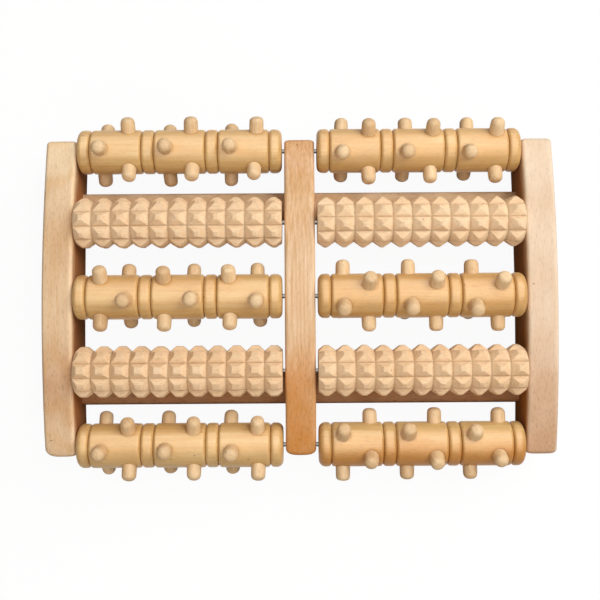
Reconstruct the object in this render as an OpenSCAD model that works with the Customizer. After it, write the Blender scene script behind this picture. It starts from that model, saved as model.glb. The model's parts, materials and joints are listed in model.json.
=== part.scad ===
// Wooden foot massage roller for two feet: three arched rails on two stretchers carry five rows of
// free-spinning rollers on steel axle rods, two rollers to a row.
// Rows 1, 3 and 5 are turned drums set with round-ended pegs, rows 2 and 4 are cut into pyramid teeth.
// X runs across both feet, Y from the front (row 5) to the rear (row 1), Z up. The rails stand on Z = 0.

/* [Frame] */
// Width over the outer faces of the side rails
frame_width = 286; // [270:1:320]
// Thickness of each of the three rails
rail_thickness = 17; // [14:0.5:22]
// Length of each rail past the axles of the first and the last row
rail_overhang = 5.5; // [4:0.5:12]
// Radius of the arched top edge of the rails
arch_radius = 405; // [320:5:600]
// Rounding of the top edges and the corners of the rails
rail_rounding = 2; // [1:0.25:3]
// Height of the hollow under the middle of each rail
underside_rise = 4; // [2:0.25:6]
// Length of the flat foot at each end of a rail
foot_length = 16; // [10:0.5:24]

/* [Stretchers] */
// Width of a stretcher
stretcher_width = 18; // [14:0.5:22]
// Thickness of a stretcher
stretcher_thickness = 8; // [6:0.25:9]
// Rounding of the long edges of a stretcher
stretcher_rounding = 1.5; // [0.5:0.25:2.5]
// Free space between a stretcher and the teeth above it
stretcher_top_gap = 1.3; // [0.6:0.1:2]
// Free space between a stretcher and the peg tips beside it
stretcher_side_gap = 4; // [2:0.25:8]
// Length of the tenon at each end of a stretcher
tenon_length = 9; // [6:0.5:12]
// Shoulder all round a tenon
tenon_shoulder = 1.5; // [1:0.25:2]

/* [Axles and rows] */
// Diameter of the steel axle rods
axle_diameter = 2.5; // [2:0.1:4]
// Depth of the blind axle holes in the side rails
axle_hole_depth = 9; // [6:0.5:12]
// Depth of the axles below the arched top edge
axle_depth = 7.5; // [5:0.25:10]
// Free space between the peg tips of a row and the teeth of the next row
row_gap = 6.75; // [3:0.25:12]
// Height of the lowest peg tip above the floor
floor_gap = 1.6; // [0.8:0.1:5]
// Free space at each end of a roller
end_play = 1.1; // [0.5:0.1:2]
// Place of the rollers in their end play: 0 in the middle of the bay, 1 against the side rail
roller_rest = 0.3; // [-0.7:0.1:0.7]

/* [Peg rollers] */
// Diameter of the drums and beads
drum_diameter = 25; // [20:0.5:28]
// Number of drums along a roller
drum_count = 3; // [2:1:3]
// Length of each bead, one at each end and one between every two drums
bead_length = 7.2; // [5:0.1:9]
// Rounding of the drum edges
drum_rounding = 1.8; // [0.8:0.1:2]
// Rounding of the bead edges
bead_rounding = 2.2; // [0.8:0.1:2.4]
// Rounding of the outer edge at each end of a roller
end_rounding = 3.5; // [1.5:0.25:4]
// Depth of the grooves between drums and beads
groove_depth = 1.7; // [0.8:0.1:2]

/* [Pegs] */
// Diameter of a peg
peg_diameter = 8.2; // [7:0.1:9]
// Height of a peg above its drum
peg_height = 8; // [6:0.25:11]
// Depth of the hole that a peg is glued into
peg_hole_depth = 6; // [4:0.25:7]
// Number of pegs in a ring round a drum
pegs_per_ring = 3; // [2:1:3]
// Distance of each of a drum's two rings of pegs from the drum's end
ring_inset = 7; // [5.5:0.25:9]
// Radius of the crowned tip
tip_crown = 7; // [5:0.25:12]
// Rounding between the tip and the side of a peg
tip_rounding = 2.4; // [1.5:0.1:3]

/* [Toothed rollers] */
// Diameter over the teeth
tooth_diameter = 29; // [26:0.5:32]
// Depth of the V grooves turned round a roller
tooth_depth = 3.2; // [2:0.1:4]
// Depth of the V grooves milled along a roller
flute_depth = 3; // [1.5:0.1:4]
// Number of teeth along a roller
teeth_along = 11; // [8:1:14]
// Number of teeth round a roller
teeth_round = 9; // [7:1:12]
// Width of the flat on top of a tooth along a roller
tooth_land = 2; // [1:0.1:3]
// Width of that flat round a roller
tooth_land_round = 2.6; // [1:0.1:5]
// Length by which the slope of the end teeth is cut short
tooth_end_trim = 0.7; // [0.2:0.1:1.5]

/* [Fits] */
// Space all round an axle in a roller's bore
running_clearance = 0.08; // [0.03:0.01:0.1]
// Space all round an axle in a rail
seat_clearance = 0.04; // [0.02:0.01:0.08]
// Glue space all round a peg in its hole
peg_clearance = 0.05; // [0.02:0.01:0.1]
// Glue space all round a stretcher or a tenon in its mortise
mortise_clearance = 0.1; // [0.05:0.05:0.3]
// Space left at the bottom of every blind hole
bottom_clearance = 0.5; // [0.2:0.1:1]

/* [Hidden] */
$fn = 96;

// How far each roller is turned at rest, in degrees, positive towards the front
turn_1_left = -1.5;
turn_1_right = 14;
turn_2_left = 13;
turn_2_right = 33;
turn_3_left = 68.5;
turn_3_right = 28;
turn_4_left = 15;
turn_4_right = 16;
turn_5_left = 8;
turn_5_right = -30.5;

LEFT = -1;
RIGHT = 1;
wood_rail = "#dcb894";
wood_roller = "#e4bf8a";
wood_peg = "#efd5a8";
wood_tooth = "#ebcba2";
steel = "#8f9195";
// Length by which a cutter runs past the face that it opens
cut_past = 1;

drum_radius = drum_diameter / 2;
tip_radius = drum_radius + peg_height;
tooth_radius = tooth_diameter / 2;
ring_valley = tooth_radius - tooth_depth;
flute_valley = tooth_radius - flute_depth;

// Across the width: the rails and the rollers between them
side_rail_x = (frame_width - rail_thickness) / 2;
inner_x = frame_width / 2 - rail_thickness;
bay_width = inner_x - rail_thickness / 2;
roller_x = (inner_x + rail_thickness / 2) / 2;
roller_length = bay_width - 2 * end_play;
drum_length = (roller_length - (drum_count + 1) * bead_length) / drum_count;
drum_pitch = drum_length + bead_length;
ring_spacing = drum_length - 2 * ring_inset;
ringed_length = roller_length + 2 * tooth_end_trim;
tooth_pitch = ringed_length / teeth_along;
axle_length = 2 * (inner_x + axle_hole_depth - bottom_clearance);

// Along the arch: five rows on one arc below the top edge
row_pitch = tip_radius + tooth_radius + row_gap;
axle_arc = arch_radius - axle_depth;
end_row_y = 2 * row_pitch;
axle_top_z = floor_gap + tip_radius + sagitta(axle_arc, end_row_y);
rail_height = axle_top_z + axle_depth;
rail_length = 2 * (end_row_y + rail_overhang);
hollow_half = rail_length / 2 - foot_length;
hollow_radius = (hollow_half ^ 2 + underside_rise ^ 2) / (2 * underside_rise);

// Stretchers: below the teeth of row 2 or 4, and beside the circle of the peg tips of row 1 or 5
stretcher_top = row_z(2) - tooth_radius - stretcher_top_gap;
stretcher_z = stretcher_top - stretcher_thickness / 2;
peg_reach = sqrt(tip_radius ^ 2 - (row_z(1) - stretcher_top) ^ 2);
stretcher_y = end_row_y - peg_reach - stretcher_side_gap - stretcher_width / 2;
tenon_size = [stretcher_width, stretcher_thickness] - 2 * tenon_shoulder * [1, 1];

// Drop of an arc of radius r at a distance d from its middle
function sagitta(r, d) = r - sqrt(r ^ 2 - d ^ 2);
// Place of a row's axle, counted from 1 at the rear
function row_y(row) = (3 - row) * row_pitch;
function row_z(row) = axle_top_z - sagitta(axle_arc, row_y(row));
// Places along a peg roller: middle of each drum, and of each bead
function drum_x(i) = (i - (drum_count - 1) / 2) * drum_pitch;
function bead_x(i) = (i - drum_count / 2) * drum_pitch;
function polar(radius, angle) = radius * [cos(angle), sin(angle)];

// Flat shape with straight sides at half_width, a top arched to radius and upper corners rounded
module arched_shape(half_width, height, radius, rounding) {
    corner_x = half_width - rounding;
    corner_y = height - radius + sqrt((radius - rounding) ^ 2 - corner_x ^ 2);
    touch_x = corner_x * radius / (radius - rounding);
    difference() {
        intersection() {
            translate([-half_width, 0]) square([2 * half_width, height]);
            translate([0, height - radius]) circle(radius, $fn = 720);
        }
        for (side = [-1, 1])
            translate([side * (touch_x + half_width) / 2, corner_y + height / 2])
                square([half_width - touch_x, height], center = true);
    }
    for (side = [-1, 1])
        translate([side * corner_x, corner_y]) circle(rounding);
}

// Flat strip from the axis out to a radius, with its two outer corners rounded
module rounded_strip(radius, width, rounding) {
    translate([0, -width / 2]) square([radius - rounding, width]);
    translate([0, rounding - width / 2]) square([radius, width - 2 * rounding]);
    for (side = [-1, 1])
        translate([radius - rounding, side * (width / 2 - rounding)]) circle(rounding);
}

// Flat rectangle about the origin, with its four corners rounded
module rounded_plate(size, rounding) {
    square([size.x - 2 * rounding, size.y], center = true);
    square([size.x, size.y - 2 * rounding], center = true);
    for (x = [-1, 1], y = [-1, 1])
        translate([x * (size.x / 2 - rounding), y * (size.y / 2 - rounding)]) circle(rounding);
}

// Turns a shape that was made along Z so that it lies along X
module along_x() {
    rotate([0, 90, 0]) children();
}

// Board with arched top, rounded edges and a hollow underside, standing on its two feet
module rail_blank() {
    difference() {
        intersection() {
            rotate([90, 0, 90])
                linear_extrude(rail_thickness, center = true)
                    arched_shape(rail_length / 2, rail_height, arch_radius, rail_rounding);
            translate([0, 0, rail_height - arch_radius])
                along_x()
                    rotate_extrude($fn = 720) rounded_strip(arch_radius, rail_thickness, rail_rounding);
            linear_extrude(rail_height)
                rounded_plate([rail_thickness, rail_length], rail_rounding);
        }
        translate([0, 0, underside_rise - hollow_radius])
            along_x()
                cylinder(h = rail_thickness + 2 * cut_past, r = hollow_radius, center = true, $fn = 720);
    }
}

// Rod hole of a given depth, entering at the plane X = 0 and running towards -X
module axle_hole(row, depth) {
    translate([cut_past, row_y(row), row_z(row)])
        rotate([0, -90, 0])
            cylinder(h = depth + cut_past, d = axle_diameter + 2 * seat_clearance);
}

// Cross section of a stretcher, or of the mortise that it runs through
module stretcher_section(clearance) {
    grow = 2 * clearance;
    rounded_plate([stretcher_width + grow, stretcher_thickness + grow], stretcher_rounding + clearance);
}

// Cross section of a tenon, or of the mortise that holds it
module tenon_section(clearance) {
    square(tenon_size + 2 * clearance * [1, 1], center = true);
}

// Places a cross section at the rear (1) or the front (-1) stretcher, with its length along X
module at_stretcher(end) {
    translate([0, end * stretcher_y, stretcher_z])
        rotate([90, 0, 90]) children();
}

// Side rail as the left one stands, with blind holes and mortises in its inner face
module side_rail() {
    translate([-side_rail_x, 0, 0])
        difference() {
            rail_blank();
            translate([rail_thickness / 2, 0, 0])
                for (row = [1:5])
                    axle_hole(row, axle_hole_depth);
            for (end = [-1, 1])
                translate([rail_thickness / 2 - tenon_length - bottom_clearance, 0, 0])
                    at_stretcher(end)
                        linear_extrude(tenon_length + bottom_clearance + cut_past)
                            tenon_section(mortise_clearance);
        }
}

module left_rail() {
    color(wood_rail) side_rail();
}

module right_rail() {
    color(wood_rail) mirror([1, 0, 0]) side_rail();
}

module centre_rail() {
    through = rail_thickness + 2 * cut_past;
    color(wood_rail)
        difference() {
            rail_blank();
            translate([rail_thickness / 2, 0, 0])
                for (row = [1:5])
                    axle_hole(row, through);
            for (end = [-1, 1])
                at_stretcher(end)
                    linear_extrude(through, center = true)
                        stretcher_section(mortise_clearance);
        }
}

// One bar that runs through the centre rail, shouldered at both ends
module stretcher(end) {
    color(wood_rail)
        at_stretcher(end) {
            linear_extrude(2 * inner_x, center = true)
                stretcher_section(0);
            linear_extrude(2 * (inner_x + tenon_length), center = true)
                tenon_section(0);
        }
}

// Rod through both rollers of a row and the centre rail, its ends in the side rails
module axle(row) {
    color(steel)
        translate([0, row_y(row), row_z(row)])
            along_x()
                cylinder(h = axle_length, d = axle_diameter, center = true);
}

// Places children on a row's axle in the left or the right bay, turned about the axle
module on_axle(row, side, turn) {
    translate([side * (roller_x + roller_rest * end_play), row_y(row), row_z(row)])
        rotate([turn, 0, 0]) children();
}

module roller_bore() {
    along_x()
        cylinder(h = roller_length + 2 * cut_past, d = axle_diameter + 2 * running_clearance, center = true);
}

// Places children at every peg of a roller, with Z out of the drum and Z = 0 on the roller's axis.
// The second ring of a drum is turned by half a step against the first.
module at_pegs() {
    step = 360 / pegs_per_ring;
    for (drum = [0 : drum_count - 1], ring = [0, 1], peg = [0 : pegs_per_ring - 1])
        translate([drum_x(drum) + (ring - 0.5) * ring_spacing, 0, 0])
            rotate([(peg + ring / 2) * step, 0, 0]) children();
}

// Half section of a turned roller: drums and beads on a core, its outer ends rounded over
module turned_section() {
    intersection() {
        union() {
            for (i = [0 : drum_count - 1])
                translate([0, drum_x(i)]) rounded_strip(drum_radius, drum_length, drum_rounding);
            for (i = [0 : drum_count])
                translate([0, bead_x(i)]) rounded_strip(drum_radius, bead_length, bead_rounding);
            translate([0, -roller_length / 2]) square([drum_radius - groove_depth, roller_length]);
        }
        rounded_strip(drum_radius, roller_length, end_rounding);
    }
}

module peg_roller(row, side, turn) {
    color(wood_roller)
        on_axle(row, side, turn)
            difference() {
                along_x() rotate_extrude() turned_section();
                roller_bore();
                at_pegs()
                    translate([0, 0, drum_radius - peg_hole_depth])
                        cylinder(h = peg_hole_depth + cut_past, d = peg_diameter + 2 * peg_clearance);
            }
}

// Round dowel with a crowned tip, glued to near the bottom of its hole
module peg() {
    foot = drum_radius - peg_hole_depth + bottom_clearance;
    length = tip_radius - foot;
    translate([0, 0, foot])
        rotate_extrude($fn = 48)
            intersection() {
                arched_shape(peg_diameter / 2, length, tip_crown, tip_rounding);
                square([peg_diameter, length]);
            }
}

module pegs(row, side, turn) {
    color(wood_peg)
        on_axle(row, side, turn)
            at_pegs() peg();
}

// Half section of the turned V grooves: the bottom of one before each ring of teeth, then the ring's land.
// It is a little longer than the roller, which is cut to length from it.
module ringed_section() {
    rings = [for (i = [0 : teeth_along - 1])
        let (middle = (i + 0.5) * tooth_pitch)
        each [
            [ring_valley, middle - tooth_pitch / 2],
            [tooth_radius, middle - tooth_land / 2],
            [tooth_radius, middle + tooth_land / 2]
        ]];
    translate([0, -ringed_length / 2])
        polygon([[0, 0], each rings, [ring_valley, ringed_length], [0, ringed_length]]);
}

// Cross section of the milled V grooves: the bottom of one before each row of teeth, then the row's top.
// The grooves' sides run past the round of the turned lands, so that these stay round.
// The first groove points along -X, which lies on top once the roller is laid along X.
module fluted_section() {
    step = 360 / teeth_round;
    half_land = asin(tooth_land_round / 2 / tooth_radius);
    run_past = 0.14;
    polygon([for (i = [0 : teeth_round - 1])
        let (
            middle = 180 + (i + 0.5) * step,
            bottom = polar(flute_valley, middle - step / 2),
            next_bottom = polar(flute_valley, middle + step / 2),
            edge = polar(tooth_radius, middle - half_land),
            next_edge = polar(tooth_radius, middle + half_land)
        )
        each [
            bottom,
            edge + run_past * (edge - bottom),
            next_edge + run_past * (next_edge - next_bottom)
        ]]);
}

module tooth_roller(row, side, turn) {
    color(wood_tooth)
        on_axle(row, side, turn)
            difference() {
                along_x()
                    intersection() {
                        rotate_extrude() ringed_section();
                        linear_extrude(roller_length, center = true) fluted_section();
                    }
                roller_bore();
            }
}

left_rail();
centre_rail();
right_rail();
stretcher(1);  // rear_stretcher
stretcher(-1);  // front_stretcher
axle(1);  // axle_1
axle(2);  // axle_2
axle(3);  // axle_3
axle(4);  // axle_4
axle(5);  // axle_5
peg_roller(1, LEFT, turn_1_left);  // peg_roller_1_left
peg_roller(1, RIGHT, turn_1_right);  // peg_roller_1_right
peg_roller(3, LEFT, turn_3_left);  // peg_roller_3_left
peg_roller(3, RIGHT, turn_3_right);  // peg_roller_3_right
peg_roller(5, LEFT, turn_5_left);  // peg_roller_5_left
peg_roller(5, RIGHT, turn_5_right);  // peg_roller_5_right
pegs(1, LEFT, turn_1_left);  // pegs_1_left
pegs(1, RIGHT, turn_1_right);  // pegs_1_right
pegs(3, LEFT, turn_3_left);  // pegs_3_left
pegs(3, RIGHT, turn_3_right);  // pegs_3_right
pegs(5, LEFT, turn_5_left);  // pegs_5_left
pegs(5, RIGHT, turn_5_right);  // pegs_5_right
tooth_roller(2, LEFT, turn_2_left);  // tooth_roller_2_left
tooth_roller(2, RIGHT, turn_2_right);  // tooth_roller_2_right
tooth_roller(4, LEFT, turn_4_left);  // tooth_roller_4_left
tooth_roller(4, RIGHT, turn_4_right);  // tooth_roller_4_right
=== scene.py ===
"""Looks of a wooden foot massage roller for two feet.

Three arched beech rails carry ten birch rollers on steel rods: turned rollers set with pegs in rows 1, 3
and 5, and rollers cut into pyramid teeth in rows 2 and 4. Lengths are millimetres until a mesh is made.
"""
import json
import math

import bpy
import numpy as np
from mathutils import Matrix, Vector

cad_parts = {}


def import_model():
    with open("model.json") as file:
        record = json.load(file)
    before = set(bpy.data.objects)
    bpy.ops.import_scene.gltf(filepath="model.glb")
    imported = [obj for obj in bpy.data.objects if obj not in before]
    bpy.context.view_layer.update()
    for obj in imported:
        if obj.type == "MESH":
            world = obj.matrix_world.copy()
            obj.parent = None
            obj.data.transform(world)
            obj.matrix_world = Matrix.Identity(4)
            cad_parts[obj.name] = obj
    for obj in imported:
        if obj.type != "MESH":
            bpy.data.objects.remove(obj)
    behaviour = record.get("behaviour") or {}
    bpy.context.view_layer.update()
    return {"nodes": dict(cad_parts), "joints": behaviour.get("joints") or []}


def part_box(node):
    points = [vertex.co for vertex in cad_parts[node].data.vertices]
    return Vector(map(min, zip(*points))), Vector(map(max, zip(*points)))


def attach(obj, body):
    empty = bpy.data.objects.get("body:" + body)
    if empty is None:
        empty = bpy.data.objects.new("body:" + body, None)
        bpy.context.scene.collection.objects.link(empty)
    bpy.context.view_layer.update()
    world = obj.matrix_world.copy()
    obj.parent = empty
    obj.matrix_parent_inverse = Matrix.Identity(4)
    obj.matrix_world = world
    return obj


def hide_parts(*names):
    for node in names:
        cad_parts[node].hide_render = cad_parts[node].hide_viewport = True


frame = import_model()
MM = 0.001
AXES = {joint["name"]: np.array(joint["pos_m"]) / MM for joint in frame["joints"]}

# Rows are counted from the rear to the front
PEG_ROWS = (1, 3, 5)
TOOTH_ROWS = (2, 4)
SIDES = ("left", "right")
# How far each roller is turned at rest, in degrees, positive with its top to the front
TURN = {
    "1_left": -1.5, "1_right": 14.0,
    "2_left": 13.0, "2_right": 33.0,
    "3_left": 68.5, "3_right": 28.0,
    "4_left": 15.0, "4_right": 16.0,
    "5_left": 8.0, "5_right": -30.5,
}

# Rails: boards sawn to an arch on top and a shallow hollow underneath
ARCH_RADIUS = 405.0
UNDERSIDE_RISE = 4.0
FOOT_LENGTH = 16.0
RAIL_ROUNDING = 2.0
# Lifts the feet by a hair, so that they stay inside the CAD box
FOOT_LIFT = 0.01
# Share of the rounding by which wear changes it, and the two lengths over which it does
EDGE_WEAR = 0.15
WEAR_LENGTHS = (15.0, 40.0)
# Length of a rail's front end over which its corners are sanded back
CORNER_REACH = 14.0
# Where a rail's tones are given, as shares of its length from the middle towards the front
TONE_PLACES = np.array([-0.5, -0.28, 0.1, 0.27, 0.44])
# Painted shade on the faces beside the rollers: how far below the top it is full, how much warmer and how
# much darker it makes them
INNER_SHADE_DEPTH = 10.0
INNER_SHADE_TONE = 0.8
INNER_SHADE_DARKENING = 0.12
# Worn top edges: how much less warm, and the square of the distance, in mm, at which that fades
EDGE_PALING = 0.3
EDGE_FADE = 2.0

STRETCHER_ROUNDING = 1.5

# Peg rollers: three drums between four narrow beads
DRUMS = 3
BEAD_LENGTH = 7.2
DRUM_ROUNDING = 1.8
BEAD_ROUNDING = 2.2
END_ROUNDING = 3.5
END_ROUNDING_SPREAD = (0.8, 1.15)
GROOVE_DEPTH = 1.7
# The lathe leaves the wood a little under size, with low ripples along it and, less often, round it
LATHE_ALLOWANCE = 0.05
LATHE_RIPPLE = 0.07
LATHE_RIPPLE_LENGTH = 18.0
LATHE_RIPPLE_ROUND = 2
# Seat pressed in round each peg, a little outside the peg's edge
SEAT_DEPTH = 0.12
SEAT_WIDTH = 0.55
SEAT_OFFSET = 0.1
# Darkening in the grooves, in the seats and on the roller's ends, and how thin a layer it makes in a groove
GROOVE_DARKENING = 0.9
GROOVE_DARKENING_LAYER = 0.3
SEAT_DARKENING = 0.3
END_DARKENING = 0.15

# Pegs: two rings of three on each drum. A spread is the range of shares by which single pegs differ
PEGS_PER_RING = 3
RING_INSET = 7.0
PEG_DIAMETER = 8.2
PEG_DIAMETER_SPREAD = (0.97, 1.01)
PEG_HEIGHT = 8.0
PEG_SHORTFALL = 0.5
PEG_HOLE_DEPTH = 6.0
PEG_FOOT_GAP = 0.5
# Rings of points on the straight side, as shares of its height, and on the tip, in degrees
PEG_SIDE_RINGS = (0.0, 0.4, 0.7)
TIP_RINGS = (0, 12, 24, 36, 48, 58, 67, 75, 83)
TIP_HEIGHT = 3.6
TIP_HEIGHT_SPREAD = (0.8, 1.15)
TIP_SQUARENESS = 2.5
TIP_SQUARENESS_SPREAD = (0.88, 1.15)
TIP_SHOULDER = 0.985
# A dowel is a little oval, turned by up to this many radians, and leans by about so many degrees
PEG_OVAL = 0.025
OVAL_TURN = 6.3
PEG_LEAN = 1.3
# Darkening round a peg's foot, and how far up it reaches
PEG_FOOT_DARKENING = 0.5
PEG_FOOT_DARKENING_REACH = 0.6
# Drilling is off by about so many mm along the roller and radians round it
DRILL_SLIP = 0.6
DRILL_SWING = 0.025
# Rollers on which one stop of the drilling jig was off: its ring, its peg, and by how many degrees
JIG_SLIP = {"5_right": (0, 2, -7.5)}

# Toothed rollers: V grooves turned round the roller, and shallower ones milled along it
TOOTH_DIAMETER = 29.0
TEETH_ALONG = 11
TEETH_ROUND = 9
RING_DEPTH = 3.2
FLUTE_DEPTH = 3.0
TOOTH_END_TRIM = 0.7
# Flat left on top of the teeth, along and round each roller: the deeper the cutter was set, the smaller
TOOTH_LAND = {
    "2_left": (2.0, 2.6), "2_right": (1.4, 2.0),
    "4_left": (3.8, 3.6), "4_right": (2.2, 2.8),
}
# Ridges are softened over this depth, and facets stay apart where they turn by more than these degrees
RIDGE_SOFTNESS = 0.06
FACET_TURN = 26
# Errors of the cutter: a ring's place, a flute's as a share of its step, the depth of both, and the
# degrees by which a flute sways along the roller
RING_SLIP = 0.1
FLUTE_SLIP = 0.012
DEPTH_SLIP = 0.1
FLUTE_SWAY = 0.5
FLUTE_SWAY_LENGTH = 23.0
# Wear of the tips, and chips: where on a tooth they lie, their mean depth, which leaves most teeth whole,
# its deviation, and the square of their reach as a share of the tooth
TIP_WEAR = 0.3
CHIP_PLACES = (0.36, 0.64)
CHIP_DEPTH = -0.1
CHIP_DEVIATION = 0.35
CHIP_REACH = 0.01
# Darkening at the bottom of both kinds of groove
RING_DARKENING = 0.45
FLUTE_DARKENING = 0.4

BORE_CLEARANCE = 0.08

# How far the wood of each roller leans to its warm colour
DRUM_TONE = {
    "1_left": 0.08, "1_right": 0.18,
    "3_left": 0.14, "3_right": 0.28,
    "5_left": 0.12, "5_right": 0.5,
}
TOOTH_TONE = {"2_left": 0.12, "2_right": 0.08, "4_left": 0.2, "4_right": 0.2}
PEG_TONE = (0.1, 0.42)
# Drums with painted shade and light: warmer and darker on their front side and paler on their rear, by this
# much at the rim, than on top
PAINTED_SHADE_AND_LIGHT = {"5_right": 0.75}

# Where in the tree the pieces are cut: ranges of the distance from its middle, two ways, and the step
# along it from one seed or peg to the next
RAIL_PITH = ((-6, 6), (45, 60))
DRUM_PITH = ((-25, 25), (18, 40))
TOOTH_PITH = ((-20, 20), (15, 35))
PEG_PITH = ((-14, 14), (5, 25))
STRETCHER_PITH = (18.0, 30.0)
TIMBER_STEP = 300.0
DOWEL_STEP = 40.0
# First seeds of the random draws for each kind of roller
DRUM_SEED = 30
PEG_SEED = 50
TOOTH_SEED = 70

# Fineness of the meshes: points on a board's corner, side, rounded end and length, along and round a
# drum, round a peg, from a roller's rim to its bore, and on a tooth's slope and land
CORNER_POINTS = 7
SIDE_POINTS = 11
END_POINTS = 6
BOARD_POINTS = 64
DRUM_POINTS = 180
DRUM_EDGE_POINTS = 7
DRUM_COLUMNS = 144
PEG_COLUMNS = 24
RIM_POINTS = 5
SLOPE_POINTS = 7
LAND_POINTS = 4
# Stations along a drum are rounded to so many decimals and kept at least this far apart
STATION_DECIMALS = 4
STATION_GAP = 0.02

# Camera: almost straight above, a little to the front, fitted to the rails' and rollers' edges
CAMERA_PLACE = (-0.6, -24.1, 541.5)
CAMERA_TURN = (2.458, -0.045, -0.38)
CAMERA_LENS = 54.79
CAMERA_CLIP = 10.0

# Floor: how far it reaches and lies below the feet, how much shadow it shows, and where that fades
FLOOR_REACH = 3000.0
FLOOR_DROP = 0.3
SHADOW_SHARE = 0.06
SHADOW_FADE = (200.0, 700.0)
FLOOR_BOUNCE = "#21160e"
AMBIENT = 0.13
AMBIENT_COLOUR = "#ffdcba"


# Shapes


def corners(node):
    """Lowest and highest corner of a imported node, in millimetres."""
    low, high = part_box(node)
    return np.array(low) / MM, np.array(high) / MM


def drop(distance, rounding):
    """How far a quarter-round edge has fallen at a distance from its end: q - sqrt(q^2 - (q - d)^2)."""
    left = rounding - np.clip(distance, 0, rounding)
    return rounding - np.sqrt(np.maximum(rounding ** 2 - left ** 2, 0))


def ripple(rng, count=6):
    """A smooth seeded unevenness of two parameters: a mean of sines of random slow frequency and phase."""
    wave = rng.uniform(-1, 1, (count, 2))
    phase = rng.uniform(0, 2 * np.pi, count)

    def height(first, second):
        turn = wave[:, 0] * first[..., None] + wave[:, 1] * second[..., None] + phase
        return np.sin(turn).mean(axis=-1)

    return height


def cells(rows, columns, joined):
    """Corner numbers of a grid's cells, closed round the columns and, if joined, from last row to first."""
    number = np.arange(rows * columns).reshape(rows, columns)
    beside = np.roll(number, -1, axis=1)
    last = rows if joined else rows - 1
    after = np.roll(number, -1, axis=0)
    after_beside = np.roll(beside, -1, axis=0)
    return number[:last], beside[:last], after_beside[:last], after[:last]


def halves(a, b, c, d, falling=None):
    """Two triangles to a cell, split from corner a to c, or from b to d where falling."""
    rising = np.stack([a, b, c, a, c, d], axis=-1)
    if falling is not None:
        rising = np.where(falling[..., None], np.stack([a, b, d, b, c, d], axis=-1), rising)
    return rising.reshape(-1, 3)


def ring_solid(grid, falling=None):
    """Points and triangles of a grid that closes in both directions, such as a bored roller."""
    rows, columns = grid.shape[:2]
    return grid.reshape(-1, 3), halves(*cells(rows, columns, True), falling)


def rod_solid(grid):
    """Points and triangles of a tube of rings whose two ends close on a middle point."""
    rows, columns = grid.shape[:2]
    points = np.concatenate([grid.reshape(-1, 3), [grid[0].mean(axis=0)], [grid[-1].mean(axis=0)]])
    number = np.arange(columns)
    beside = np.roll(number, -1)
    start = np.full(columns, rows * columns)
    last = (rows - 1) * columns
    first_cap = np.stack([start, beside, number], axis=-1)
    last_cap = np.stack([start + 1, number + last, beside + last], axis=-1)
    return points, np.concatenate([halves(*cells(rows, columns, False)), first_cap, last_cap])


def piece(name, points, triangles, material, body, node, slot, crisp=180, **attributes):
    """Puts a closed surface into a mesh, faces outwards, and hands it to the frame in place of a node.
    Edges that turn by more than crisp degrees stay sharp, and attributes are values at the points.

    Faces point outwards when the volume they enclose, a sixth of the sum of a . (b x c), is positive.
    """
    a, b, c = points[triangles].transpose(1, 0, 2)
    if (a * np.cross(b, c)).sum() < 0:
        triangles = triangles[:, ::-1]
    mesh = bpy.data.meshes.new(name)
    mesh.from_pydata(points * MM, [], triangles)
    mesh.shade_smooth()
    mesh.set_sharp_from_angle(angle=math.radians(crisp))
    for key, values in attributes.items():
        kind, field = ("FLOAT_VECTOR", "vector") if values.ndim == 2 else ("FLOAT", "value")
        layer = mesh.attributes.new(key, kind, "POINT")
        layer.data.foreach_set(field, values.astype(np.float32).ravel())
    mesh.materials.append(material)
    made = bpy.data.objects.new(name, mesh)
    bpy.context.scene.collection.objects.link(made)
    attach(made, body)
    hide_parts(node)


def board_rings(along, half_width, low, high, rounding):
    """Rounded rectangles carried along a board: one ring of (across, along, up) points to each station.

    Each corner is a quarter circle, and each side is a straight run between two corners.
    """
    arc = np.radians(np.linspace(0, 90, CORNER_POINTS))
    run = np.linspace(0, 1, SIDE_POINTS)[1:-1]
    middle, half_height = (low + high) / 2, (high - low) / 2
    corner = []
    for start, side, up in ((0, 1, 1), (90, -1, 1), (180, -1, -1), (270, 1, -1)):
        angle = np.radians(start) + arc
        across = (side * (half_width - rounding))[:, None] + rounding[:, None] * np.cos(angle)
        rise = (middle + up * (half_height - rounding))[:, None] + rounding[:, None] * np.sin(angle)
        corner.append(np.stack([across, np.broadcast_to(along[:, None], across.shape), rise], axis=-1))
    ring = []
    for this, following in zip(corner, corner[1:] + corner[:1]):
        step = following[:, :1] - this[:, -1:]
        ring += [this, this[:, -1:] + run[None, :, None] * step]
    return np.concatenate(ring, axis=1)


def board_stations(length, rounding):
    """Places along a board: even over its length, and closer together on the rounded ends."""
    half = length / 2
    end = rounding * (1 - np.cos(np.linspace(0, np.pi / 2, END_POINTS)))
    even = np.linspace(-half + rounding, half - rounding, BOARD_POINTS)
    return np.concatenate([-half + end, even[1:-1], half - end[::-1]])


def in_tree(points, rng, pith, seed):
    """Where points with the grain along Z lie in the tree: off its middle by a random share of the ranges
    in pith, and one step further along it for each seed."""
    return points + [*(rng.uniform(*span) for span in pith), seed * TIMBER_STEP]


# Materials


def linear(code):
    """An sRGB hex colour as linear red, green, blue and alpha."""
    part = np.array([int(code[i:i + 2], 16) for i in (1, 3, 5)]) / 255
    value = np.where(part <= 0.04045, part / 12.92, ((part + 0.055) / 1.055) ** 2.4)
    return (*value.tolist(), 1.0)


def per(*sizes):
    """What a place is multiplied by to give a pattern these sizes along X, Y and Z: one over each."""
    return tuple(1 / size for size in sizes)


def put(tree, kind, links, out=0, **settings):
    """Adds a node with its settings, gives each named socket a value or a link, and returns one output."""
    made = tree.nodes.new(kind)
    for key, value in settings.items():
        setattr(made, key, value)
    for key, value in links.items():
        if isinstance(value, bpy.types.NodeSocket):
            tree.links.new(value, made.inputs[key])
        else:
            made.inputs[key].default_value = value
    return made.outputs[out]


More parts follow.
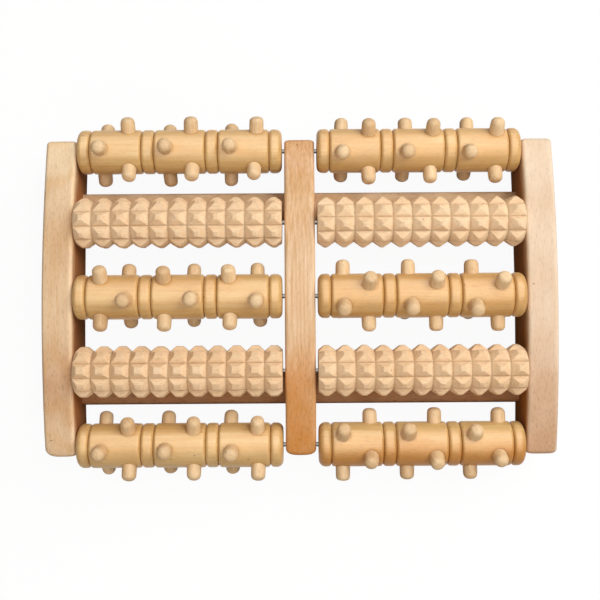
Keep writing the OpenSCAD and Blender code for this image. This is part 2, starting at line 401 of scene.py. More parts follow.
def wood(name, pale, deep, warm, darkening, ring_gap, ring, streak, pore, mottle,
         rough, relief, shine, coat=0.0, coat_rough=0.38):
    """Wood cut anywhere from the tree: its attribute timber holds the place there, in mm, grain along Z.

    Growth rings are distances from the tree's middle, fibres and pores are noise drawn out along the grain,
    pin knots are spots round scattered points, and mottling is broad noise. ring, streak, pore and mottle
    are how strongly they show. tone leans to the warm colour and crease to the dark one, on some pieces as
    painted shade.
    relief is the fibres' height in mm, and shine is how much of a smooth surface's reflection is left.
    """
    material = bpy.data.materials.new(name)
    material.use_nodes = True
    tree = material.node_tree
    shader = tree.nodes["Principled BSDF"]
    timber = put(tree, "ShaderNodeAttribute", {}, "Vector", attribute_name="timber")
    tone = put(tree, "ShaderNodeAttribute", {}, "Fac", attribute_name="tone")
    crease = put(tree, "ShaderNodeAttribute", {}, "Fac", attribute_name="crease")

    # Growth rings, which wander by about two rings over 40 mm
    place = put(tree, "ShaderNodeVectorMath", {0: timber, 1: per(40, 40, 130)}, operation="MULTIPLY")
    wander = put(tree, "ShaderNodeTexNoise", {"Vector": place, "Scale": 1.0, "Detail": 3.0}, "Fac")
    flat = put(tree, "ShaderNodeVectorMath", {0: timber, 1: (1.0, 1.0, 0.0)}, operation="MULTIPLY")
    radius = put(tree, "ShaderNodeVectorMath", {0: flat}, "Value", operation="LENGTH")
    count = put(tree, "ShaderNodeMath", {0: radius, 1: 1 / ring_gap}, operation="MULTIPLY")
    count = put(tree, "ShaderNodeMath", {0: wander, 1: 4.0, 2: count}, operation="MULTIPLY_ADD")
    year = put(tree, "ShaderNodeMath", {0: count, 1: 0.5}, operation="PINGPONG")
    late = put(tree, "ShaderNodeMapRange", {0: year, 1: 0.1, 2: 0.48}, interpolation_type="SMOOTHSTEP")

    # Fibre streaks about 1 mm wide and 45 mm long, as coarse as they need to be to show
    place = put(tree, "ShaderNodeVectorMath", {0: timber, 1: per(1.1, 1.1, 45)}, operation="MULTIPLY")
    fibre = put(
        tree, "ShaderNodeTexNoise", {"Vector": place, "Scale": 1.0, "Detail": 4.0, "Roughness": 0.6}, "Fac")
    # Open pores and flecks, 0.6 mm wide and 3 mm long, twice as coarse as the real ones so that they show
    place = put(tree, "ShaderNodeVectorMath", {0: timber, 1: per(0.6, 0.6, 3)}, operation="MULTIPLY")
    dash = put(tree, "ShaderNodeTexNoise", {"Vector": place, "Scale": 1.0, "Detail": 1.0}, "Fac")
    fleck = put(tree, "ShaderNodeMapRange", {0: dash, 1: 0.5, 2: 0.74}, interpolation_type="SMOOTHSTEP")
    # Pin knots about 1 mm across, one to a block of 14 mm
    place = put(tree, "ShaderNodeVectorMath", {0: timber, 1: per(14, 14, 14)}, operation="MULTIPLY")
    apart = put(tree, "ShaderNodeTexVoronoi", {"Vector": place, "Scale": 1.0}, "Distance")
    knot = put(tree, "ShaderNodeMapRange", {0: apart, 1: 0.02, 2: 0.05, 3: 0.6, 4: 0.0})
    # Mottling about 15 mm across and twice as long along the grain
    place = put(tree, "ShaderNodeVectorMath", {0: timber, 1: per(15, 15, 30)}, operation="MULTIPLY")
    cloud = put(tree, "ShaderNodeTexNoise", {"Vector": place, "Scale": 1.0, "Detail": 3.0}, "Fac")

    # Colour: rings and fibres lead to deep, mottling and tone to warm, flecks, creases and knots to dark
    # On some pieces tone and crease hold painted shade
    shade = put(tree, "ShaderNodeMath", {0: late, 1: ring}, operation="MULTIPLY")
    grain = put(tree, "ShaderNodeMapRange", {0: fibre, 1: 0.3, 2: 0.7, 3: 0.0, 4: streak})
    shade = put(tree, "ShaderNodeMath", {0: shade, 1: grain}, operation="ADD", use_clamp=True)
    colour = put(tree, "ShaderNodeMix", {0: shade, 6: linear(pale), 7: linear(deep)}, 2, data_type="RGBA")
    lean = put(tree, "ShaderNodeMapRange", {0: cloud, 1: 0.3, 2: 0.7, 3: 0.0, 4: mottle})
    lean = put(tree, "ShaderNodeMath", {0: lean, 1: tone}, operation="ADD", use_clamp=True)
    colour = put(tree, "ShaderNodeMix", {0: lean, 6: colour, 7: linear(warm)}, 2, data_type="RGBA")
    depth = put(tree, "ShaderNodeMath", {0: lean, 1: 2 * pore, 2: pore}, operation="MULTIPLY_ADD")
    mark = put(tree, "ShaderNodeMath", {0: fleck, 1: depth, 2: crease}, operation="MULTIPLY_ADD")
    mark = put(tree, "ShaderNodeMath", {0: mark, 1: knot}, operation="ADD", use_clamp=True)
    colour = put(tree, "ShaderNodeMix", {0: mark, 6: colour, 7: linear(darkening)}, 2, data_type="RGBA")
    tree.links.new(colour, shader.inputs["Base Color"])

    # Surface: fibres stand up a little and are duller, and pores are sunk
    gloss = put(tree, "ShaderNodeMapRange", {0: fibre, 1: 0.3, 2: 0.7, 3: rough - 0.05, 4: rough + 0.07})
    tree.links.new(gloss, shader.inputs["Roughness"])
    height = put(tree, "ShaderNodeMath", {0: fleck, 1: -0.8, 2: fibre}, operation="MULTIPLY_ADD")
    bump = put(tree, "ShaderNodeBump", {"Height": height, "Strength": 0.5, "Distance": relief * MM})
    tree.links.new(bump, shader.inputs["Normal"])
    shader.inputs["Specular IOR Level"].default_value = shine
    shader.inputs["Coat Weight"].default_value = coat
    shader.inputs["Coat Roughness"].default_value = coat_rough
    return material


def steel():
    """Drawn steel rod, polished: dark grey metal with a sharp line of light, broken by fine scratches."""
    material = bpy.data.materials.new("drawn_steel_rod")
    material.use_nodes = True
    tree = material.node_tree
    shader = tree.nodes["Principled BSDF"]
    # Scratches 12 mm long along the rod and 0.2 mm wide, coarser than the real ones so that they show
    place = put(tree, "ShaderNodeTexCoord", {}, "Object")
    scale = per(12 * MM, 0.2 * MM, 0.2 * MM)
    place = put(tree, "ShaderNodeVectorMath", {0: place, 1: scale}, operation="MULTIPLY")
    scratch = put(tree, "ShaderNodeTexNoise", {"Vector": place, "Scale": 1.0, "Detail": 3.0}, "Fac")
    bright, dark = linear("#5c5956"), linear("#3e3c3a")
    grey = put(tree, "ShaderNodeMix", {0: scratch, 6: bright, 7: dark}, 2, data_type="RGBA")
    tree.links.new(grey, shader.inputs["Base Color"])
    gloss = put(tree, "ShaderNodeMapRange", {0: scratch, 1: 0.3, 2: 0.7, 3: 0.06, 4: 0.14})
    tree.links.new(gloss, shader.inputs["Roughness"])
    shader.inputs["Metallic"].default_value = 1.0
    return material


# Planed and sanded beech: pinkish tan with fine dark flecks along the grain, dull
SANDED_BEECH = wood(
    "sanded_beech", pale="#fbe7c5", deep="#f0cfa2", warm="#b57a4c", darkening="#5f3314",
    ring_gap=5.0, ring=0.45, streak=0.75, pore=0.1, mottle=0.2,
    rough=0.8, relief=0.1, shine=0.02)
# Beech from the tree's outer wood: the same dull surface, almost cream
PALE_BEECH = wood(
    "pale_sanded_beech", pale="#eedbc2", deep="#e3c9ac", warm="#b0733c", darkening="#5f3314",
    ring_gap=5.0, ring=0.4, streak=0.6, pore=0.1, mottle=0.1,
    rough=0.8, relief=0.1, shine=0.02)
# Beech under a coat of clear lacquer: honey brown where the coat is thick, streaked, satin
LACQUERED_BEECH = wood(
    "lacquered_beech", pale="#f1d9ba", deep="#d5ae80", warm="#c27c2c", darkening="#5f3314",
    ring_gap=5.0, ring=0.35, streak=0.9, pore=0.09, mottle=0.2,
    rough=0.5, relief=0.06, shine=0.03, coat=0.06)
# Turned birch under clear lacquer: honey colour with a pale sheen on the side of the light
TURNED_BIRCH = wood(
    "lacquered_birch", pale="#dabb83", deep="#cea565", warm="#b97e36", darkening="#4a260e",
    ring_gap=3.2, ring=0.4, streak=0.85, pore=0.07, mottle=0.3,
    rough=0.5, relief=0.04, shine=0.08, coat=0.66)
# Birch dowel, paler than the drums, with end grain on the tips
BIRCH_DOWEL = wood(
    "birch_dowel", pale="#f3d9b2", deep="#e6c492", warm="#b88a54", darkening="#6e4523",
    ring_gap=2.4, ring=0.35, streak=0.4, pore=0.1, mottle=0.15,
    rough=0.5, relief=0.05, shine=0.08, coat=0.06)
# Birch left as the cutter leaves it: peach beige, dull, a little rough across the grain
CUT_BIRCH = wood(
    "cut_birch", pale="#f8dfbc", deep="#edcaa0", warm="#d4a36c", darkening="#6b3f1e",
    ring_gap=3.0, ring=0.35, streak=0.4, pore=0.12, mottle=0.22,
    rough=0.65, relief=0.1, shine=0.06)
STEEL_ROD = steel()


# Frame


def arch(top, along):
    """Height of a rail's top edge at a place along it: a circle's arc that is highest in the middle."""
    return top - (ARCH_RADIUS - np.sqrt(ARCH_RADIUS ** 2 - along ** 2))


def underside(length, along):
    """Height of a rail's underside: a shallow arc through both feet's inner ends, and flat on the feet."""
    half = length / 2 - FOOT_LENGTH
    radius = (half ** 2 + UNDERSIDE_RISE ** 2) / (2 * UNDERSIDE_RISE)
    reach = np.minimum(np.abs(along), half)
    return FOOT_LIFT + np.sqrt(radius ** 2 - reach ** 2) - (radius - UNDERSIDE_RISE)


def rail(side, material, seed, tones, corners_cut):
    """An arched board: its top is an arc, its underside a shallow arc between two feet, its edges rounded.

    At a distance d from an end the section shrinks by drop(d), which rounds the ends as the edges. In plan,
    the front end falls back by the cube of the way from the middle to each side, as it was sanded by hand,
    by up to corners_cut on the left and the right. tones are how warm and dark the wood is at five places
    from
    the rear to the front: its own colour, and on the side rails partly painted light and shade as well. The
    faces beside the rollers carry painted shade, darker by the fourth power of the way from the middle to
    them, and the top edges are worn paler, by a bell curve of the distance from them.
    """
    node = f"{side}_rail"
    low, high = corners(node)
    length = high[1] - low[1]
    half = (high[0] - low[0]) / 2
    rng = np.random.default_rng(seed)
    along = board_stations(length, RAIL_ROUNDING)
    inset = drop(length / 2 - np.abs(along), RAIL_ROUNDING)
    under = underside(length, along) + inset
    top = arch(high[2], along) - inset
    short, long = WEAR_LENGTHS
    worn = RAIL_ROUNDING * (1 + EDGE_WEAR * ripple(rng)(along / short, along / long))
    grid = board_rings(along, half - inset, under, top, worn)
    aside = grid[..., 0] / half
    near_front = np.clip((-grid[..., 1] - length / 2 + CORNER_REACH) / CORNER_REACH, 0, 1)
    grid[..., 1] += near_front * np.where(aside < 0, *corners_cut) * np.abs(aside) ** 3

    points, triangles = rod_solid(grid)
    timber = in_tree(points[:, [0, 2, 1]], rng, RAIL_PITH, seed)
    # On the side rails the tones are partly painted light and shade: paler at the rear, darker towards the
    # front
    tone = np.interp(-points[:, 1], length * TONE_PLACES, tones)
    below = arch(high[2], points[:, 1]) - points[:, 2]
    to_rollers = {"left": points[:, 0], "centre": np.abs(points[:, 0]), "right": -points[:, 0]}[side]
    # Painted shade on the faces beside the rollers, growing down to its full depth below the top
    inner_shade = np.clip(to_rollers / half, 0, 1) ** 4 * np.clip(below / INNER_SHADE_DEPTH, 0, 1)
    edge = np.exp(-((half - np.abs(points[:, 0])) ** 2 + below ** 2) / EDGE_FADE)
    tone = tone + INNER_SHADE_TONE * inner_shade - EDGE_PALING * edge
    middle = np.array([(low[0] + high[0]) / 2, 0, 0])
    piece(f"rail_{side}", points + middle, triangles, material, "frame", node, "rail_wood",
          timber=timber, tone=tone, crease=INNER_SHADE_DARKENING * inner_shade)


def stretcher(end, seed, tone, darkening):
    """A straight bar with rounded edges, its ends hidden in the side rails. Its outer edge carries painted
    shade, which grows with the eighth power of the way from the bar's middle to that edge."""
    node = f"{end}_stretcher"
    low, high = corners(node)
    middle = (low + high) / 2 * [1, 1, 0]
    along = board_stations(high[0] - low[0], STRETCHER_ROUNDING)
    even = np.ones_like(along)
    half_width = (high[1] - low[1]) / 2
    grid = board_rings(along, even * half_width, even * low[2], even * high[2], even * STRETCHER_ROUNDING)
    points, triangles = rod_solid(grid[..., [1, 0, 2]])
    timber = points[:, [1, 2, 0]] + [*STRETCHER_PITH, seed * TIMBER_STEP]
    outwards = np.clip(np.sign(middle[1]) * points[:, 1] / points[:, 1].max(), 0, 1)
    # tone darkens the whole bar, partly as painted shade, and the outer edge gets painted shade
    piece(f"stretcher_{end}", points + middle, triangles, SANDED_BEECH, "frame", node, "stretcher_wood",
          timber=timber, tone=np.full(len(points), tone), crease=darkening * outwards ** 8)


# Rollers


def roller_place(node, joint):
    """Middle of a roller on its joint's axis, its length and its outer radius."""
    low, high = corners(node)
    return AXES[joint], high[0] - low[0], (high[2] - low[2]) / 2


def round_axis(x, radius, angle):
    """Points round an axis along X: the angle counts from the top and grows towards the front."""
    return np.stack([x, -radius * np.sin(angle), radius * np.cos(angle)], axis=-1)


def bored(row, x, radius):
    """Closes an outer surface into a roller bored for its row's rod: down one end, back through the bore
    and up the other end."""
    low, high = corners(f"axle_{row}")
    bore = (high[2] - low[2]) / 2 + BORE_CLEARANCE
    step = np.linspace(0, 1, RIM_POINTS)[1:, None]
    down = radius[-1] + (bore - radius[-1]) * step
    up = np.concatenate([np.full((1, x.shape[1]), bore), (bore + (radius[0] - bore) * step)[:-1]])
    rows = np.concatenate([x, np.repeat(x[-1:], len(down), axis=0), np.repeat(x[:1], len(up), axis=0)])
    return rows, np.concatenate([radius, down, up])


def drum_places(length):
    """Middles of the drums along a peg roller, and a drum's length."""
    drum = (length - (DRUMS + 1) * BEAD_LENGTH) / DRUMS
    return (np.arange(DRUMS) - (DRUMS - 1) / 2) * (drum + BEAD_LENGTH), drum


def peg_places(length, name):
    """Place along the axis and angle of each peg: two rings to a drum, the second half a step round, each
    hole drilled a little off its mark."""
    rng = np.random.default_rng(sum(name.encode()))
    middles, drum = drum_places(length)
    ring = np.array([-1, 1]) * (drum / 2 - RING_INSET)
    step = 2 * np.pi / PEGS_PER_RING
    along = middles[:, None, None] + ring[None, :, None] + np.zeros((1, 1, PEGS_PER_RING))
    angle = step * (np.arange(PEGS_PER_RING)[None, None, :] + np.array([0, 0.5])[None, :, None])
    angle = np.radians(TURN[name]) + np.broadcast_to(angle, along.shape)
    if name in JIG_SLIP:
        slipped_ring, slipped_peg, slip = JIG_SLIP[name]
        angle[:, slipped_ring, slipped_peg] += np.radians(slip)
    along = along.ravel() + rng.normal(0, DRILL_SLIP, along.size)
    return along, angle.ravel() + rng.normal(0, DRILL_SWING, angle.size)


def turned_profile(length, rng):
    """Stations along a peg roller, how far its radius falls at each, and which of them lie inside its ends.

    Each drum and bead falls by a quarter round at both ends, and the grooves between them end at one depth.
    """
    _, drum = drum_places(length)
    size = np.array([BEAD_LENGTH, drum] * DRUMS + [BEAD_LENGTH])
    edge = np.concatenate([[0], np.cumsum(size)]) - length / 2
    first = np.array([BEAD_ROUNDING, DRUM_ROUNDING] * DRUMS + [BEAD_ROUNDING])
    last = first.copy()
    first[0], last[-1] = END_ROUNDING * rng.uniform(*END_ROUNDING_SPREAD, 2)
    bend = 1 - np.cos(np.linspace(0, np.pi / 2, DRUM_EDGE_POINTS))
    rising = edge[:-1, None] + first[:, None] * bend
    falling = edge[1:, None] - last[:, None] * bend
    even = np.linspace(-length / 2, length / 2, DRUM_POINTS)
    x = np.unique(np.round(np.concatenate([rising, falling, even], axis=None), STATION_DECIMALS))
    x = x[np.concatenate([[True], np.diff(x) > STATION_GAP])]
    stretch = np.clip(np.searchsorted(edge, x, side="right") - 1, 0, len(size) - 1)
    fall = drop(x - edge[stretch], first[stretch]) + drop(edge[stretch + 1] - x, last[stretch])
    inner = np.abs(x) < length / 2 - BEAD_LENGTH / 2
    return x, np.where(inner, np.minimum(fall, GROOVE_DEPTH), fall), inner


def peg_roller(row, side, seed):
    """Turned roller: its profile carried round the axis, with low ripples and a seat pressed in round each
    peg, which is a bell curve of the distance from the nearest peg's edge."""
    name = f"{row}_{side}"
    node = f"peg_roller_{name}"
    place, length, full = roller_place(node, f"spin_{name}")
    rng = np.random.default_rng(seed)
    x, fall, inner = turned_profile(length, rng)
    angle = np.linspace(0, 2 * np.pi, DRUM_COLUMNS, endpoint=False)
    along, around = np.meshgrid(x, angle, indexing="ij")
    wave = ripple(rng)(along / LATHE_RIPPLE_LENGTH, LATHE_RIPPLE_ROUND * np.sin(around))
    uneven = LATHE_RIPPLE * wave - LATHE_ALLOWANCE
    peg_x, peg_angle = peg_places(length, name)
    apart = (around[..., None] - peg_angle + np.pi) % (2 * np.pi) - np.pi
    near = np.hypot(along[..., None] - peg_x, full * apart).min(axis=-1) - PEG_DIAMETER / 2
    seat = np.exp(-((near - SEAT_OFFSET) / SEAT_WIDTH) ** 2)
    radius = full - fall[:, None] + uneven - SEAT_DEPTH * seat
    rows, radii = bored(row, along, radius)
    points, triangles = ring_solid(round_axis(rows, radii, angle + np.zeros_like(rows)))

    groove = np.where(inner, np.exp(-((GROOVE_DEPTH - fall) / GROOVE_DARKENING_LAYER) ** 2), 0)
    darkening = np.maximum(GROOVE_DARKENING * groove[:, None], SEAT_DARKENING * seat)
    end_darkening = np.full((len(rows) - len(x), DRUM_COLUMNS), END_DARKENING)
    timber = in_tree(points[:, [1, 2, 0]], rng, DRUM_PITH, seed)
    # Painted shade on the drum's front side and painted light on its rear side
    tone = DRUM_TONE[name] - PAINTED_SHADE_AND_LIGHT.get(name, 0) * points[:, 1] / full
    piece(f"drum_{name}", points + place, triangles, TURNED_BIRCH, f"roller_{name}", node, "roller_wood",
          timber=timber, tone=tone, crease=np.concatenate([darkening, end_darkening]).ravel())


def peg_profiles(count, full, rng):
    """Radius and height of each peg's rings, from its foot in the drum to its tip. The side is straight. On
    the tip they are the cosine and the sine of a quarter turn, to a power that makes it squarer."""
    girth = PEG_DIAMETER / 2 * rng.uniform(*PEG_DIAMETER_SPREAD, (count, 1))
    tip = full + PEG_HEIGHT - rng.uniform(0, PEG_SHORTFALL, (count, 1))
    dome = TIP_HEIGHT * rng.uniform(*TIP_HEIGHT_SPREAD, (count, 1))
    power = 2 / (TIP_SQUARENESS * rng.uniform(*TIP_SQUARENESS_SPREAD, (count, 1)))
    foot = full - PEG_HOLE_DEPTH + PEG_FOOT_GAP
    bend = np.radians(np.array([TIP_RINGS]))
    side_radius = np.ones((count, len(PEG_SIDE_RINGS)))
    radius = girth * np.concatenate([side_radius, TIP_SHOULDER * np.cos(bend) ** power], axis=1)
    side_height = foot + (tip - dome - foot) * np.array([PEG_SIDE_RINGS])
    return radius, np.concatenate([side_height, tip - dome + dome * np.sin(bend) ** power], axis=1)


def with_middles(rods):
    """Points of several rods of rings, each with the middles of its first and last ring after its own, in
    the order of rod_solid."""
    own = rods.reshape(len(rods), -1, 3)
    return np.concatenate([own, rods[:, :1].mean(axis=2), rods[:, -1:].mean(axis=2)], axis=1)


def pegs(row, side, seed):
    """Dowels with domed tips, all of one roller in one mesh: each profile is turned about its peg's own
    axis, which stands on the drum and leans a little. Each peg is cut from another part of the tree."""
    name = f"{row}_{side}"
    node = f"pegs_{name}"
    place, length, full = roller_place(f"peg_roller_{name}", f"spin_{name}")
    rng = np.random.default_rng(seed)
    along, angle = peg_places(length, name)
    count = len(along)
    radius, height = peg_profiles(count, full, rng)
    around = np.linspace(0, 2 * np.pi, PEG_COLUMNS, endpoint=False)
    oval = rng.uniform(0, PEG_OVAL, (count, 1, 1))
    girth = radius[..., None] * (1 + oval * np.cos(2 * around + rng.uniform(0, OVAL_TURN, (count, 1, 1))))
    lean = np.radians(rng.normal(0, PEG_LEAN, (count, 2)))[..., None, None]
    above = height[..., None] - full
    lengthways = girth * np.cos(around) + above * lean[:, 0]
    sideways = girth * np.sin(around) + above * lean[:, 1]
    outwards = height[..., None] + np.zeros_like(girth)
    turn = angle[:, None, None]
    grid = np.stack([
        along[:, None, None] + lengthways,
        -outwards * np.sin(turn) + sideways * np.cos(turn),
        outwards * np.cos(turn) + sideways * np.sin(turn)], axis=-1)
    points = with_middles(grid)
    spread = points.shape[1]
    _, triangles = rod_solid(grid[0])
    triangles = (triangles[None] + spread * np.arange(count)[:, None, None]).reshape(-1, 3)

    local = with_middles(np.stack([lengthways, sideways, outwards], axis=-1))
    pith = [rng.uniform(*span, count) for span in PEG_PITH]
    timber = local + np.stack([*pith, DOWEL_STEP * np.arange(count)], axis=-1)[:, None, :]
    tone = np.broadcast_to(rng.uniform(*PEG_TONE, (count, 1)), (count, spread))
    crease = PEG_FOOT_DARKENING * np.exp(-((local[..., 2] - full) / PEG_FOOT_DARKENING_REACH) ** 2)
    piece(f"peg_set_{name}", points.reshape(-1, 3) + place, triangles, BIRCH_DOWEL, f"roller_{name}", node,
          "peg_wood", timber=timber.reshape(-1, 3), tone=tone.ravel(), crease=crease.ravel())


def groove_cut(share, half_land, depth):
    """How deep V grooves cut at a share of the way across a tooth: none on its land, full at both sides."""
    return depth * (1 - np.clip((0.5 - np.abs(share - 0.5)) / (0.5 - half_land), 0, 1))


def tooth_steps(half_land, depth):
    """Stations across one tooth, where both kinds of groove reach the same depths, so that facets meet."""
    level = np.append(np.linspace(0, FLUTE_DEPTH, SLOPE_POINTS), RING_DEPTH)
    level = level[level <= depth]
    slope = (0.5 - half_land) * (1 - level[::-1] / depth)
    land = np.linspace(0.5 - half_land, 0.5 + half_land, LAND_POINTS)
    return np.concatenate([slope, land[1:-1], 1 - slope[:0:-1]])


def tooth_faults(rng, i, j, u, w, ring, milled, cut):
    """How much higher the surface is for grooves of uneven depth, and lower for worn tips and for chips.

    A groove's own error grows with its depth. Wear grows with the cube of the way up a tooth, and a chip is
    a bell curve about its place on the tooth. i and j number the teeth, u and w are shares across them.
    """
    teeth = (TEETH_ALONG, TEETH_ROUND)
    at_tooth = np.ix_(i, j)
    ring_off = rng.normal(0, DEPTH_SLIP, TEETH_ALONG + 1)
    flute_off = rng.normal(0, DEPTH_SLIP, TEETH_ROUND)
    uneven = ring / RING_DEPTH * (ring_off[i][:, None] * (1 - u) + ring_off[i + 1][:, None] * u)
    uneven = uneven + milled / FLUTE_DEPTH * (flute_off[j] * (1 - w) + flute_off[(j + 1) % TEETH_ROUND] * w)
    worn = rng.uniform(0, TIP_WEAR, teeth)[at_tooth] * (1 - cut / RING_DEPTH) ** 3
    chip_u, chip_w = rng.uniform(*CHIP_PLACES, (2, *teeth))
    chip = np.maximum(rng.normal(CHIP_DEPTH, CHIP_DEVIATION, teeth), 0)[at_tooth]
    chip = chip * np.exp(-((u - chip_u[at_tooth]) ** 2 + (w - chip_w[at_tooth]) ** 2) / CHIP_REACH)
    return uneven, worn, chip


def tooth_roller(row, side, seed):
    """Pyramid teeth: the surface lies below the full radius by the greater of two cuts, the turned grooves'
    and the milled ones'. The greater is the log of their summed exponentials, which softens the ridges.
    Darkening grows with the twelfth power of the depth in a groove."""
    name = f"{row}_{side}"
    node = f"tooth_roller_{name}"
    place, length, _ = roller_place(node, f"spin_{name}")
    full = TOOTH_DIAMETER / 2
    rng = np.random.default_rng(seed)
    pitch = (length + 2 * TOOTH_END_TRIM) / TEETH_ALONG
    step = 2 * np.pi / TEETH_ROUND
    land_along, land_round = TOOTH_LAND[name]
    ring_land = land_along / 2 / pitch
    flute_land = math.asin(land_round / 2 / full) / step

    # Bottoms of the grooves, and stations between them
    valley = (np.arange(TEETH_ALONG + 1) - TEETH_ALONG / 2) * pitch
    valley[1:-1] += rng.normal(0, RING_SLIP, TEETH_ALONG - 1)
    flute = np.arange(TEETH_ROUND) + rng.normal(0, FLUTE_SLIP, TEETH_ROUND)
    flute = step * np.append(flute, flute[0] + TEETH_ROUND)
    x = valley[:-1, None] + tooth_steps(ring_land, RING_DEPTH) * np.diff(valley)[:, None]
    x = np.unique(np.clip(np.append(x, valley[-1]), -length / 2, length / 2))
    across = tooth_steps(flute_land, FLUTE_DEPTH)
    angle = (flute[:-1, None] + across * np.diff(flute)[:, None]).ravel()

    # The number of each station's tooth, along and round, and the share of the way across it
    i = np.clip(np.searchsorted(valley, x, side="right") - 1, 0, TEETH_ALONG - 1)
    j = np.repeat(np.arange(TEETH_ROUND), len(across))
    u = ((x - valley[i]) / np.diff(valley)[i])[:, None]
    w = np.tile(across, TEETH_ROUND)[None, :]
    ring = groove_cut(u, ring_land, RING_DEPTH)
    milled = groove_cut(w, flute_land, FLUTE_DEPTH)
    cut = RIDGE_SOFTNESS * np.log(np.exp(ring / RIDGE_SOFTNESS) + np.exp(milled / RIDGE_SOFTNESS))
    uneven, worn, chip = tooth_faults(rng, i, j, u, w, ring, milled, cut)
    radius = full - cut + uneven - worn - chip
    rows, radii = bored(row, x[:, None] + np.zeros_like(radius), radius)
    sway = np.radians(FLUTE_SWAY) * np.sin(rows / FLUTE_SWAY_LENGTH + seed)
    grid = round_axis(rows, radii, angle + np.radians(TURN[name]) + sway)

    # Cells are split towards the middle of their tooth, so that its ridges run straight
    middle_u = np.append((u[:-1, 0] + u[1:, 0]) / 2, 0.0)
    middle_w = (w[0] + np.append(w[0, 1:], 1.0)) / 2
    falling = np.zeros(rows.shape, dtype=bool)
    falling[:len(x)] = (middle_u[:, None] - 0.5) * (middle_w - 0.5) < 0
    points, triangles = ring_solid(grid, falling)

    ring_darkening = RING_DARKENING * (ring / RING_DEPTH) ** 12
    crease = np.zeros(rows.shape)
    crease[:len(x)] = np.maximum(ring_darkening, FLUTE_DARKENING * (milled / FLUTE_DEPTH) ** 12)
    timber = in_tree(points[:, [1, 2, 0]], rng, TOOTH_PITH, seed)
    tone = np.full(len(points), TOOTH_TONE[name])
    piece(f"teeth_{name}", points + place, triangles, CUT_BIRCH, f"roller_{name}", node, "tooth_wood",
          crisp=FACET_TURN, timber=timber, tone=tone, crease=crease.ravel())


# The side rails' tones are partly painted light and shade, paler at the rear and darker towards the front
rail("left", SANDED_BEECH, seed=11, tones=(-0.2, 0.3, 0.2, 0.55, 0.3), corners_cut=(2.6, 0.4))
rail("centre", LACQUERED_BEECH, seed=12, tones=(0.42, 0.06, 0.06, 0.64, 0.76), corners_cut=(1.7, 1.7))
rail("right", PALE_BEECH, seed=13, tones=(0.0, 0.05, 0.1, 0.4, 0.52), corners_cut=(0.3, 0.5))
# The stretchers' tones are partly painted shade, most on the front one, and the last value is painted shade
# on their outer edge
stretcher("rear", seed=21, tone=0.27, darkening=0.4)
stretcher("front", seed=22, tone=0.74, darkening=1.0)
for row in PEG_ROWS:
    for index, side in enumerate(SIDES):
        peg_roller(row, side, seed=DRUM_SEED + 2 * row + index)
        pegs(row, side, seed=PEG_SEED + 2 * row + index)
for row in TOOTH_ROWS:
    for index, side in enumerate(SIDES):
        tooth_roller(row, side, seed=TOOTH_SEED + 2 * row + index)
for row in PEG_ROWS + TOOTH_ROWS:
    for slot in frame["nodes"][f"axle_{row}"].material_slots:
        slot.material = STEEL_ROD


# Stage


def seen(tree, looks, lights):
    """One surface for what the camera, mirrors and glass see, and another for light that bounces."""
    path = tree.nodes.new("ShaderNodeLightPath").outputs
    ray = put(tree, "ShaderNodeMath", {0: path["Is Camera Ray"], 1: path["Is Glossy Ray"]}, operation="ADD")
    through = path["Is Transmission Ray"]
    ray = put(tree, "ShaderNodeMath", {0: ray, 1: through}, operation="ADD", use_clamp=True)
    return put(tree, "ShaderNodeMixShader", {0: ray, 1: lights, 2: looks})


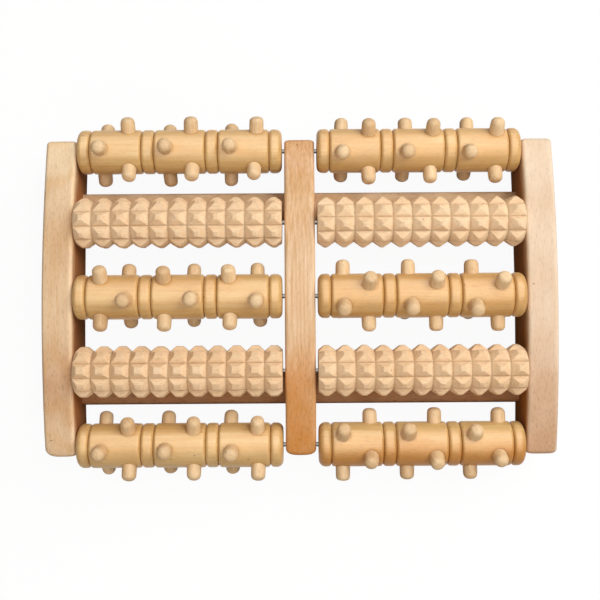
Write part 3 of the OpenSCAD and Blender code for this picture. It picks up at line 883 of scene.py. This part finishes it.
def floor():
    """Plain pale floor: white, with a share of paper that takes a soft shadow round the object, and a dim
    bounce on to the object."""
    reach, below = FLOOR_REACH * MM, -FLOOR_DROP * MM
    near, far = (distance * MM for distance in SHADOW_FADE)
    square = [(-reach, -reach, below), (reach, -reach, below),
              (reach, reach, below), (-reach, reach, below)]
    mesh = bpy.data.meshes.new("floor")
    mesh.from_pydata(square, [], [(0, 1, 2, 3)])
    material = bpy.data.materials.new("pale_paper_floor")
    material.use_nodes = True
    tree = material.node_tree
    white = put(tree, "ShaderNodeEmission", {"Color": (1, 1, 1, 1), "Strength": 1.0})
    paper = put(tree, "ShaderNodeBsdfDiffuse", {"Color": (1, 1, 1, 1)})
    place = put(tree, "ShaderNodeTexCoord", {}, "Object")
    away = put(tree, "ShaderNodeVectorMath", {0: place}, "Value", operation="LENGTH")
    fade = {0: away, 1: near, 2: far, 3: SHADOW_SHARE, 4: 0.0}
    share = put(tree, "ShaderNodeMapRange", fade, interpolation_type="SMOOTHSTEP")
    looks = put(tree, "ShaderNodeMixShader", {0: share, 1: white, 2: paper})
    dim = put(tree, "ShaderNodeBsdfDiffuse", {"Color": linear(FLOOR_BOUNCE)})
    tree.links.new(seen(tree, looks, dim), tree.nodes["Material Output"].inputs["Surface"])
    mesh.materials.append(material)
    made = bpy.data.objects.new("floor", mesh)
    bpy.context.scene.collection.objects.link(made)


def lamp(name, place, size, power, matt=True, gloss=True):
    """A soft box that faces the middle of the object, its width along X, for matt light, gloss or both.
    Its place and size are in metres."""
    x, y, z = place
    light = bpy.data.lights.new(name, "AREA")
    light.shape = "RECTANGLE"
    light.size, light.size_y = size
    light.energy = power
    made = bpy.data.objects.new(name, light)
    made.location = place
    made.rotation_euler = (-math.asin(y / math.hypot(x, y, z)), math.atan2(x, z), 0)
    made.visible_diffuse = matt
    made.visible_glossy = gloss
    bpy.context.scene.collection.objects.link(made)


def camera():
    """Camera at the photograph's place, above the object and a little to the front."""
    made = bpy.data.objects.new("camera", bpy.data.cameras.new("camera"))
    made.data.lens = CAMERA_LENS
    made.data.clip_start = CAMERA_CLIP * MM
    made.location = [value * MM for value in CAMERA_PLACE]
    made.rotation_euler = [math.radians(value) for value in CAMERA_TURN]
    bpy.context.scene.collection.objects.link(made)
    bpy.context.scene.camera = made


def world():
    """Even weak light from all round, white where the camera sees it."""
    made = bpy.data.worlds.new("studio")
    made.use_nodes = True
    tree = made.node_tree
    lights = tree.nodes["Background"]
    lights.inputs["Color"].default_value = linear(AMBIENT_COLOUR)
    lights.inputs["Strength"].default_value = AMBIENT
    white = put(tree, "ShaderNodeBackground", {"Color": (1, 1, 1, 1), "Strength": 1.0})
    tree.links.new(seen(tree, white, lights.outputs[0]), tree.nodes["World Output"].inputs["Surface"])
    bpy.context.scene.world = made


camera()
floor()
world()
lamp("key", place=(0.2, 0.0, 1.2), size=(1.2, 1.2), power=6.9, gloss=False)
lamp("side", place=(0.7, 0.6, 0.85), size=(0.9, 0.9), power=11.8, gloss=False)
lamp("fill", place=(-0.1, -0.9, 0.7), size=(1.2, 0.6), power=3.3, gloss=False)
lamp("window", place=(0.1, 0.47, 1.0), size=(1.9, 3.4), power=106.0, matt=False)
bpy.context.scene.view_settings.view_transform = "Standard"
